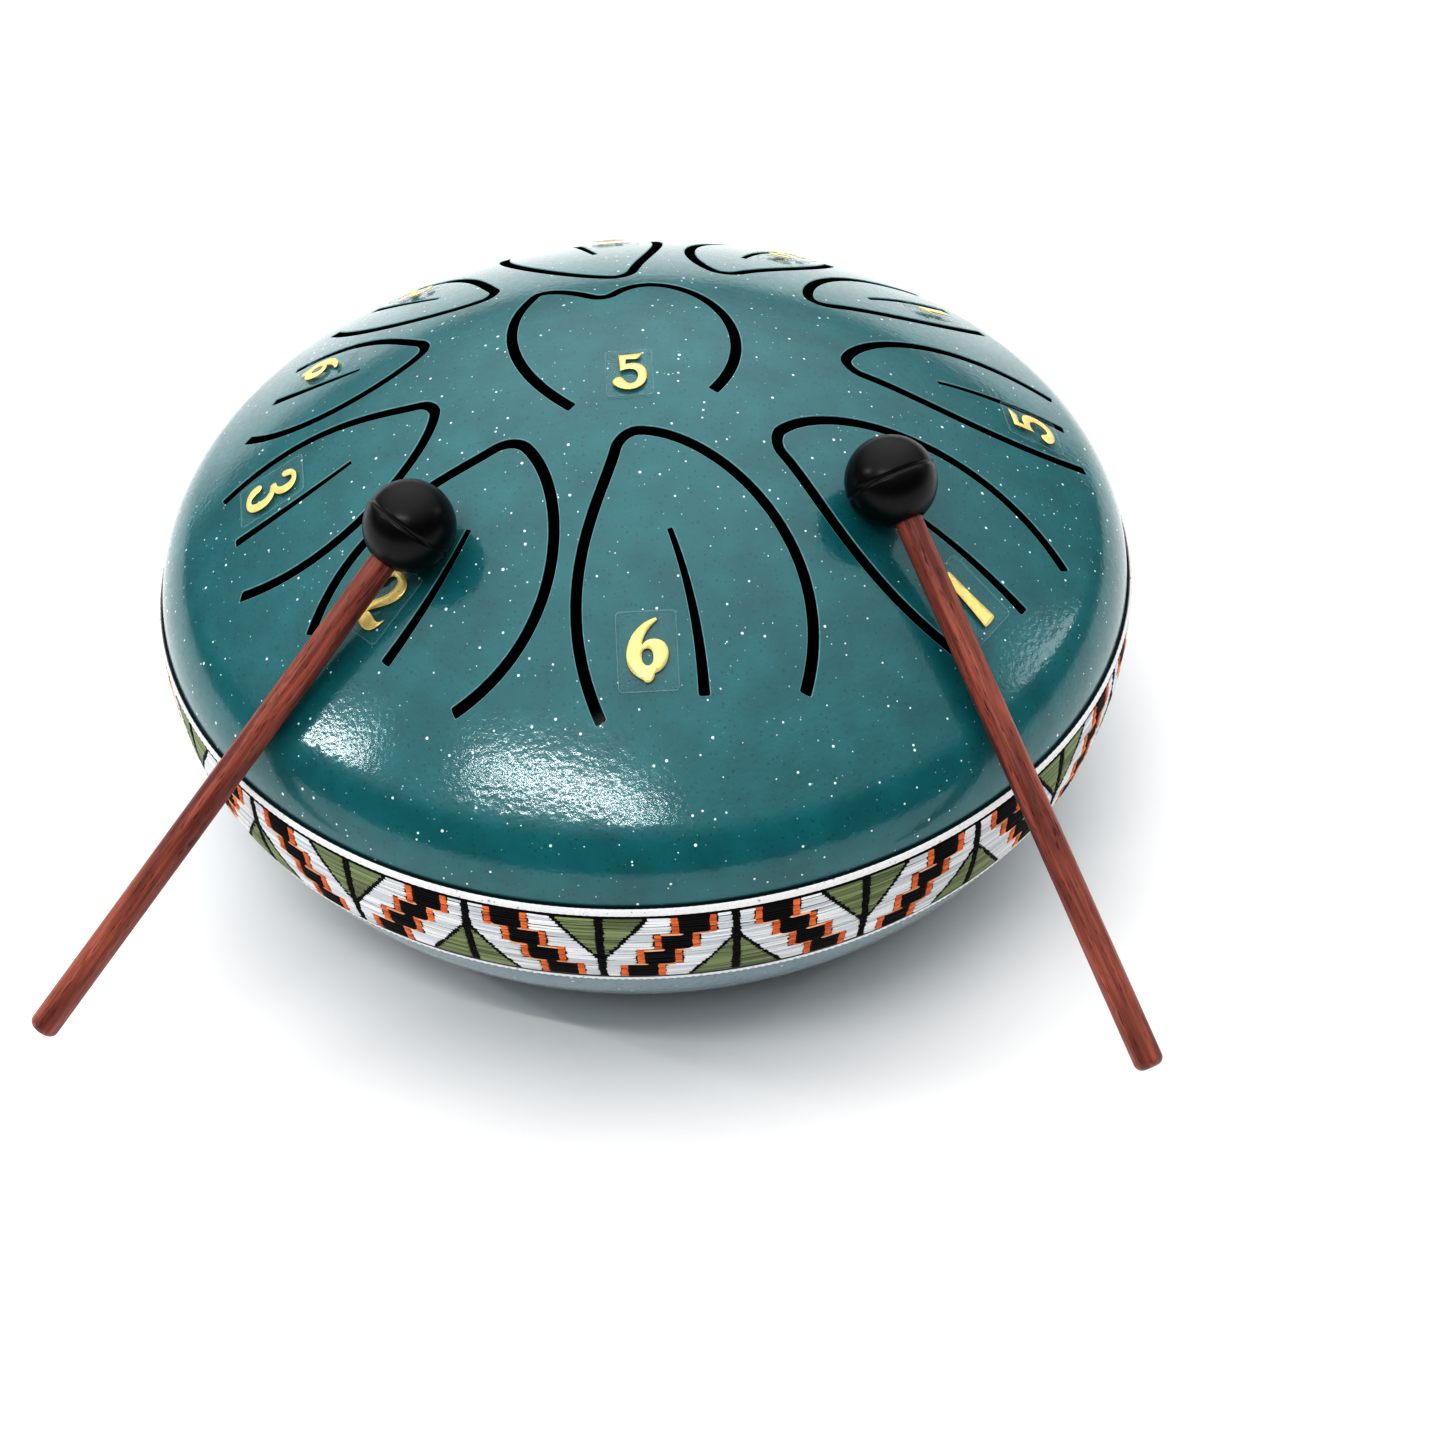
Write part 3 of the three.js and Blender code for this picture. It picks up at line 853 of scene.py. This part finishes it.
def ribbon(look):
    """The ribbon's black ground, stretched round the drum."""
    depth = np.linspace(RIBBON_TOP, RIBBON_BOTTOM, 19)
    outer, inner = (np.column_stack(wall(depth, stand)) for stand in (RIBBON_OUTER, RIBBON_INNER))
    outline = np.vstack([outer, inner[::-1], outer[:1]])
    return fit(turned("ribbon_ground", outline, look, around=720), "woven_cloth", "woven_ribbon")


def rows_of(pitch):
    """The depths of rows of stitches, as shares of the band's height."""
    count = int((STITCH_BOTTOM - STITCH_TOP) / pitch)
    return (np.arange(count) + 0.5) / count


def rows(start, end, share):
    """Rows of stitches from start to end, in cells, at shares of the band's height."""
    return np.column_stack(np.broadcast_arrays(start, end, share))


def triangle_edge(share):
    """A triangle's half width in cells, at a share of the band's height from its base."""
    return TRIANGLE_HALF * np.maximum(1 - share / (1 - TRIANGLE_TIP), 0)


def stair_at(share):
    """The stair's left edge at a share of the band's height."""
    return STAIR_START + STAIR_SHIFT * np.minimum((share * STEPS).astype(int), STEPS - 1)


def white_rows():
    """The white of one cell, which runs from an up triangle's middle to a down triangle's."""
    share = rows_of(0.56)
    stair = stair_at(share)
    near = np.maximum(triangle_edge(1 - share) + WHITE_CLEAR, LINE_HALF)
    far = 1 - np.maximum(triangle_edge(share) + WHITE_CLEAR, LINE_HALF)
    left = rows(near, stair - ORANGE_WIDTH, share)
    return np.vstack([left, rows(stair + STAIR_WIDTH + ORANGE_WIDTH, far, share)])


def olive_rows():
    share = rows_of(0.5)
    up, down = triangle_edge(1 - share), triangle_edge(share)
    left = rows(LINE_HALF, up, share)[up > SHORTEST]
    return np.vstack([left, rows(1 - down, 1 - LINE_HALF, share)[down > SHORTEST]])


def orange_rows():
    share = rows_of(0.62)
    stair = stair_at(share)
    left = rows(stair - ORANGE_WIDTH, stair, share)
    across = STAIR_WIDTH + ORANGE_WIDTH
    return np.vstack([left, left + [across, across, 0]])


def tread_rows():
    """The fine pale thread that edges each stair."""
    step = np.arange(1, STEPS)
    start = STAIR_START + STAIR_SHIFT * (step - 1)
    left = rows(start - 0.01, start + STAIR_SHIFT, step / STEPS)
    return np.vstack([left, left + [STAIR_WIDTH - 0.02, STAIR_WIDTH + 0.01, 0]])


def stair_rows():
    share = rows_of(0.5)
    stair = stair_at(share)
    return rows(stair, stair + STAIR_WIDTH, share)


def outline_rows():
    """The outlines of both triangles, and half of each middle line."""
    share = rows_of(0.5)
    up, down = triangle_edge(1 - share), triangle_edge(share)
    left = rows(up - OUTLINE_HALF, up + OUTLINE_HALF, share)[up > 0]
    right = rows(1 - down - OUTLINE_HALF, 1 - down + OUTLINE_HALF, share)[down > 0]
    return np.vstack([left, right, rows(0, LINE_HALF, share), rows(1 - LINE_HALF, 1, share)])


def stitches(name, look, cell_rows, width, height, ragged):
    """Satin stitches: half-round threads along the band, in each cell, that dive in at their ends.

    Every other cell is the mirror image of the one before it.
    """
    all_rows = []
    for cell in range(HALF_PERIODS):
        start, end, share = cell_rows.T
        if cell % 2 == 0:
            start, end = 1 - end, 1 - start
        all_rows.append(rows(cell + start, cell + end, share))
    start, end, share = np.vstack(all_rows).T
    count = len(share)
    start = start * CELL + rng.uniform(-ragged, ragged, count)
    end = end * CELL + rng.uniform(-ragged, ragged, count)
    depth = STITCH_TOP + share * (STITCH_BOTTOM - STITCH_TOP)
    tilt = rng.uniform(-STITCH_TILT, STITCH_TILT, (count, 2))
    width = width * rng.uniform(*STITCH_WIDTHS, count)
    height = height * rng.uniform(*STITCH_HEIGHTS, count)
    tone = rng.uniform(0, 1, count)

    along = np.array([0.0, 0.04, 0.12, 0.37, 0.63, 0.88, 0.96, 1.0])
    rise = np.array([0.0, 0.7, 1.0, 1.0, 1.0, 1.0, 0.7, 0.0])
    turn = np.linspace(0, math.pi, 6)
    run = start[:, None] + (end - start)[:, None] * along
    middle = depth[:, None] + tilt[:, :1] * (1 - along) + tilt[:, 1:] * along
    across = -0.5 * width[:, None, None] * np.cos(turn) * (0.6 + 0.4 * rise)[:, None]
    lift = height[:, None, None] * np.sin(turn) * rise[:, None]
    azimuth = PHASE + (run / SHELL_RADIUS)[:, :, None]
    radius, level = wall(middle[:, :, None] + across, STITCH_STAND + lift)
    points = around_axis(radius, azimuth, level)
    one = quads(len(along), len(turn), wrap_columns=True)
    faces = (one[None] + (np.arange(count) * len(along) * len(turn))[:, None, None]).reshape(-1, 4)
    piece = make_mesh(name, points, [faces], [look])
    shade = piece.data.attributes.new("tone", "FLOAT", "POINT")
    shade.data.foreach_set("value", np.repeat(tone, len(along) * len(turn)))
    return fit(piece, "woven_cloth")


def piping(name, look, edge_look, size, node, edge_side):
    """A corded edge: a white bead with a slight twist, and a thin black bead beside it as painted
    contact shadow.
    """
    around = 1440
    turn, edge_turn = circle(14), circle(8)
    twist = CORD_TWIST * np.sin(circle(around)[:, None] * CORD_RIDGES + turn)
    middle = size["top"] + size["height"] / 2
    half_out = (size["outer"] - size["inner"]) / 2 - CORD_TWIST
    out = size["inner"] + half_out + (half_out + twist) * np.cos(turn)
    points, faces = bead(around, middle + size["height"] / 2 * np.sin(turn), out)

    # The black bead along the cord is painted shade: the dark line of contact shadow beside it.
    edge_depth = middle + edge_side * (size["height"] / 2 + CORD_SHADE_GAP)
    edge_depth = edge_depth + CORD_SHADE_RADIUS * np.sin(edge_turn)
    edge_points, edge_faces = bead(around, edge_depth, CORD_SHADE_RADIUS * (1 + np.cos(edge_turn)))
    edge_faces += around * len(turn)
    points = np.vstack([points.reshape(-1, 3), edge_points.reshape(-1, 3)])
    face_material = [0] * len(faces) + [1] * len(edge_faces)
    piece = make_mesh(name, points, [faces, edge_faces], [look, edge_look], face_material)
    return fit(piece, "white_cord", node)


def band():
    ground = black_cloth()
    cord = white_cord()
    base = ribbon(ground)
    white = thread("white_thread", srgb(250, 251, 252), srgb(190, 196, 202))
    olive = thread("olive_thread", srgb(154, 168, 122), srgb(86, 100, 62))
    orange = thread("orange_thread", srgb(246, 140, 74), srgb(196, 84, 36))
    pale = thread("pale_thread", srgb(250, 206, 168), srgb(212, 140, 92))
    black = thread("black_thread", srgb(8, 8, 12), srgb(2, 2, 3), 0.0)
    pieces = [
        stitches("stitches_white", white, white_rows(), 0.6, 0.26, 0.16),
        stitches("stitches_olive", olive, olive_rows(), 0.54, 0.22, 0.1),
        stitches("stitches_orange", orange, orange_rows(), 0.64, 0.3, 0.08),
        stitches("stitches_pale", pale, tread_rows(), 0.3, 0.34, 0.1),
        stitches("stitches_stair", black, stair_rows(), 0.56, 0.24, 0.14),
        stitches("stitches_outline", black, outline_rows(), 0.56, 0.24, 0.14),
        piping("upper_piping_cord", cord, ground, UPPER_PIPING, "upper_piping", -1),
        piping("lower_piping_cord", cord, ground, LOWER_PIPING, "lower_piping", 1),
    ]


# ---- Stickers ----


def placed(outline, middle, angle, scale):
    """Sticker points in plan, from (right, up) as read by the player, its foot towards the rim."""
    slope = math.acos(dome_normal(np.array([middle]))[0][2])
    x = outline[:, 0] * scale
    y = outline[:, 1] * scale * math.cos(slope)
    across = middle[0] + x * math.cos(angle) - y * math.sin(angle)
    away = middle[1] + x * math.sin(angle) + y * math.cos(angle)
    return np.column_stack([across, away])


def digit_loop(outline):
    """A closed outline of a number from its curves."""
    at = outline[0]
    stretches = []
    for curve in outline[1:]:
        stretches.append(bezier([at, *curve], 10)[:-1])
        at = curve[-1]
    return np.vstack(stretches)


def film_outline(inset):
    """A film's rounded outline, or one inside it."""
    radius = FILM_CORNER - inset
    x, y = FILM_WIDTH / 2 - FILM_CORNER, FILM_HEIGHT / 2 - FILM_CORNER
    corners = [((x, y), 0), ((-x, y), 90), ((-x, -y), 180), ((x, -y), 270)]
    return np.vstack([arc(middle, radius, start, start + 90, 5) for middle, start in corners])


def skin(name, loops, spacing, low, high, looks):
    """A thin skin over the dome within plan loops. Its walls have the second look."""
    plan, triangles = filled(loops, spacing)
    count = len(plan)
    points = np.vstack([on_dome(plan, high), on_dome(plan, low)])
    walls = [bridge(number, number + count) for number in numbered(loops)]
    face_material = [0] * (2 * len(triangles)) + [1] * sum(map(len, walls))
    faces = [triangles, triangles + count, *walls]
    return make_mesh(name, points, faces, looks, face_material)


def sticker(number, node, middle, angle, scale, looks):
    """A clear film and its foil number."""
    film, edge, foil, foil_side = looks
    low, high = FILM_STAND, FILM_STAND + FILM_THICKNESS
    outer, inner = (placed(film_outline(inset), middle, angle, scale) for inset in (0, FILM_RIM))
    body = skin(node + "_film", [inner], 1.5, low, high - FILM_SINK, [film, film])
    fit(body, "gold_foil", node)
    fit(skin(node + "_edge", [outer, inner], 1.0, low, high, [edge, edge]), "gold_foil")
    unit = FILM_HEIGHT * DIGIT_HEIGHT / 100
    loops = [placed(digit_loop(outline) * unit, middle, angle, scale) for outline in DIGITS[number]]
    top = high + FOIL_THICKNESS
    fit(skin(node + "_number", loops, 0.6, high, top, [foil, foil_side]), "gold_foil")


def stickers():
    # The rim's film is more opaque than the middle, so its pale haze shows as a painted highlight along
    # the edge.
    looks = clear_film("clear_film", 0.025), clear_film("film_rim_painted_highlight", 0.13), gold_foil(), foil_edge()
    sticker(CENTRE_NUMBER, "note_sticker_centre", CENTRE_FILM, 0.0, CENTRE_FILM_SCALE, looks)
    for i, tongue in enumerate(TONGUES):
        length = tongue.root - tongue.tip
        middle = on_tongue(tongue, [(-FILM_OFFSET, 1 - FILM_INSET / length)])[0]
        angle = math.atan2(middle[0], -middle[1])
        scale = min(1, tongue.half / FULL_FILM_TONGUE)
        sticker(tongue.number, f"note_sticker_{i + 1}", middle, angle, scale, looks)


# ---- Feet and mallets ----


def feet():
    look = rubber("foot_rubber", 0.55, 0.0)
    top = FOOT_HEIGHT - GAP
    side = arc((FOOT_RADIUS - FOOT_DRAFT - FOOT_ROUND, FOOT_ROUND), FOOT_ROUND, 270, 345, 6)
    lid = [(FOOT_RADIUS, top - 0.2), (FOOT_RADIUS - 0.2, top), (0, top)]
    outline = np.vstack([FOOT_SOLE, side, lid])
    for i in range(FOOT_COUNT):
        piece = turned(f"foot_{i + 1}", outline, look, around=64)
        piece.location = direction(360 * (i + 0.5) / FOOT_COUNT) * FOOT_RING * MM
        fit(piece, "foot_rubber", f"rubber_foot_{i + 1}")


def ball_outline():
    """A ball with a parting groove round its equator and a socket with a rounded lip."""
    hole = STICK_RADIUS + SOCKET_PLAY
    mouth = math.degrees(math.asin((hole + SOCKET_FLARE) / BALL_RADIUS))
    groove = math.degrees(GROOVE_HALF / BALL_RADIUS)
    lower = arc((0, 0), BALL_RADIUS, -90 + mouth, -groove, 40)
    notch = [(BALL_RADIUS - 0.12, -0.22), (BALL_RADIUS - GROOVE, 0), (BALL_RADIUS - 0.12, 0.22)]
    upper = arc((0, 0), BALL_RADIUS, groove, 90, 44)
    lip = [(hole, STICK_IN_BALL), (hole, lower[0][1] + 0.5), (hole + 0.12, lower[0][1] + 0.12)]
    return np.vstack([lower, notch, upper, [(0, STICK_IN_BALL)], lip, lower[:1]])


def stick_outline():
    """A stick with a softened butt and a little less girth at the ball."""
    end = -STICK_LENGTH
    butt = arc((STICK_RADIUS - BUTT_ROUND, end + BUTT_ROUND), BUTT_ROUND, 270, 360, 8)
    height = np.linspace(end + 6, STICK_IN_BALL - GAP, 30)
    girth = STICK_RADIUS - STICK_TAPER * np.clip((height - end) / STICK_LENGTH, 0, 1)
    shaft = np.column_stack([girth, height])
    return np.vstack([[(0, end)], butt, shaft, [(0, STICK_IN_BALL - GAP)]])


def mallet(name, azimuth, radius, heading, drop, ball_look, stick_look):
    place = math.radians(azimuth)
    plan = radius * np.array([[math.sin(place), -math.cos(place)]])
    centre = Vector(on_dome(plan, BALL_RADIUS + GAP)[0].tolist()) * MM
    along = direction(heading, -drop)
    rotation = Vector((0, 0, -1)).rotation_difference(along).to_matrix().to_4x4()
    lying = Matrix.Translation(centre) @ rotation
    ball = turned(name + "_ball_rubber", ball_outline(), ball_look, around=128)
    ball.data.transform(lying)
    fit(ball, "ball_rubber", name + "_ball", body=name)
    stick = turned(name + "_stick_wood", stick_outline(), stick_look, around=64)
    stick.matrix_world = lying  # its mesh stays upright, so that the grain runs along it
    fit(stick, "red_wood", name + "_stick", body=name)


def mallets():
    ball_look, stick_look = rubber("ball_rubber", 0.3, 0.2), red_wood()
    for one in MALLETS:
        mallet(**one, ball_look=ball_look, stick_look=stick_look)


# ---- Studio ----

# Metres and degrees, for the camera and the lights
CAMERA_PLACE = (0, -0.47193, 0.4461)
CAMERA_TURN = (1.27, 42.74, -2.15)  # right, down and tilted
LENS = 96.95  # in millimetres, for a sensor of 36

# Three strips whose reflections are the highlights on the shoulder, and a fill that has none: name,
# azimuth, elevation, distance, (width, height), watts, roll, and whether it shows in reflections.
LIGHTS = [
    ("front_light", -29, 57, 1.0, (0.64, 0.016), 1.5, 8, True),
    ("left_light", -86, 36, 1.0, (0.34, 0.035), 0.8, 40, True),
    ("right_light", 103, 24, 1.0, (0.42, 0.09), 0.3, -40, True),
    ("fill_light", -8, 45, 1.3, (1.0, 0.6), 1.9, 0, False),
]
LIT_POINT = Vector((0, 0, 0.05))

SKY_TOP = (0, 0.35, 0.94)  # the brightest direction of the surround
SKY_DARK = (0.35, 0.08)  # (how far a direction lies along SKY_TOP, strength)
SKY_BRIGHT = (0.95, 1.6)

FLOOR_HALF = 10000.0  # millimetres, as is its height
FLOOR_HEIGHT = -0.1


def camera():
    """A long lens at the player's side, looking down on the drum and a touch to the right."""
    yaw, pitch, roll = (math.radians(a) for a in CAMERA_TURN)
    data = bpy.data.cameras.new("camera")
    data.lens = LENS
    data.sensor_width = 36
    made = new_object("camera", data)
    turn = Matrix.Rotation(-yaw, 4, "Z") @ Matrix.Rotation(math.pi / 2 - pitch, 4, "X")
    place = Matrix.Translation(CAMERA_PLACE)
    made.matrix_world = place @ turn @ Matrix.Rotation(roll, 4, "Z")
    bpy.context.scene.camera = made


def softbox(name, azimuth, elevation, distance, size, power, roll, in_gloss):
    """An oval area light that faces the drum."""
    data = bpy.data.lights.new(name, "AREA")
    data.shape = "ELLIPSE"
    data.size, data.size_y = size
    data.energy = power
    made = new_object(name, data)
    away = direction(azimuth, elevation)
    made.location = LIT_POINT + away * distance
    turned_by = Quaternion((0, 0, 1), math.radians(roll))
    made.rotation_euler = (away.to_track_quat("Z", "Y") @ turned_by).to_euler()
    made.visible_camera = False
    made.visible_glossy = in_gloss


def floor():
    look = Look("floor_paper", {"Roughness": 0.9, "Specular IOR Level": 0.1})
    look.cloud(40, 2, srgb(243, 243, 243), srgb(247, 247, 247))
    signs = [(-1, -1), (1, -1), (1, 1), (-1, 1)]
    points = [(x * FLOOR_HALF, y * FLOOR_HALF, FLOOR_HEIGHT) for x, y in signs]
    sheet = make_mesh("floor", points, [[(0, 1, 2, 3)]], [look.material])


def sky():
    """A pale surround, brightest overhead and behind the drum, and dark behind the player."""
    world = bpy.data.worlds.new("studio")
    bpy.context.scene.world = world
    world.use_nodes = True
    nodes, links = world.node_tree.nodes, world.node_tree.links
    nodes["Background"].inputs["Color"].default_value = (1, 1, 1, 1)
    place = nodes.new("ShaderNodeTexCoord")
    along = nodes.new("ShaderNodeVectorMath")
    along.operation = "DOT_PRODUCT"
    along.inputs[1].default_value = SKY_TOP
    ramp = nodes.new("ShaderNodeMapRange")
    ramp.inputs["From Min"].default_value, ramp.inputs["To Min"].default_value = SKY_DARK
    ramp.inputs["From Max"].default_value, ramp.inputs["To Max"].default_value = SKY_BRIGHT
    links.new(place.outputs["Generated"], along.inputs[0])
    links.new(along.outputs["Value"], ramp.inputs["Value"])
    links.new(ramp.outputs[0], nodes["Background"].inputs["Strength"])


def studio():
    floor()
    sky()
    for light in LIGHTS:
        softbox(*light)
    view = bpy.context.scene.view_settings
    view.view_transform = "Standard"
    view.look = "High Contrast"


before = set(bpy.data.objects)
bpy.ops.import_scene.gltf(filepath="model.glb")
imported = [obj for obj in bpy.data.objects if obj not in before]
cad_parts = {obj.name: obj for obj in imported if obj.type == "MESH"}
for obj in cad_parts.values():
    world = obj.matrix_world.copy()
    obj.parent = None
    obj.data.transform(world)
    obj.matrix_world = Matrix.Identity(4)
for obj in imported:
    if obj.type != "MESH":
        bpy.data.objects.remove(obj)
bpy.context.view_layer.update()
camera()
teal = paint("teal_paint", srgb(22, 106, 111), srgb(15, 92, 97))
dark = inside_painted_shade()
top_shell(teal, edge_painted_highlight(), dark)
# The bowl's pale blue-grey, lighter than the dome's teal, is a painted reflection of the white floor on
# its enamel.
bottom_shell(paint("slate_paint", srgb(114, 140, 150), srgb(100, 126, 136)), dark)
seam_weld(weld_steel())
band()
stickers()
feet()
mallets()
studio()
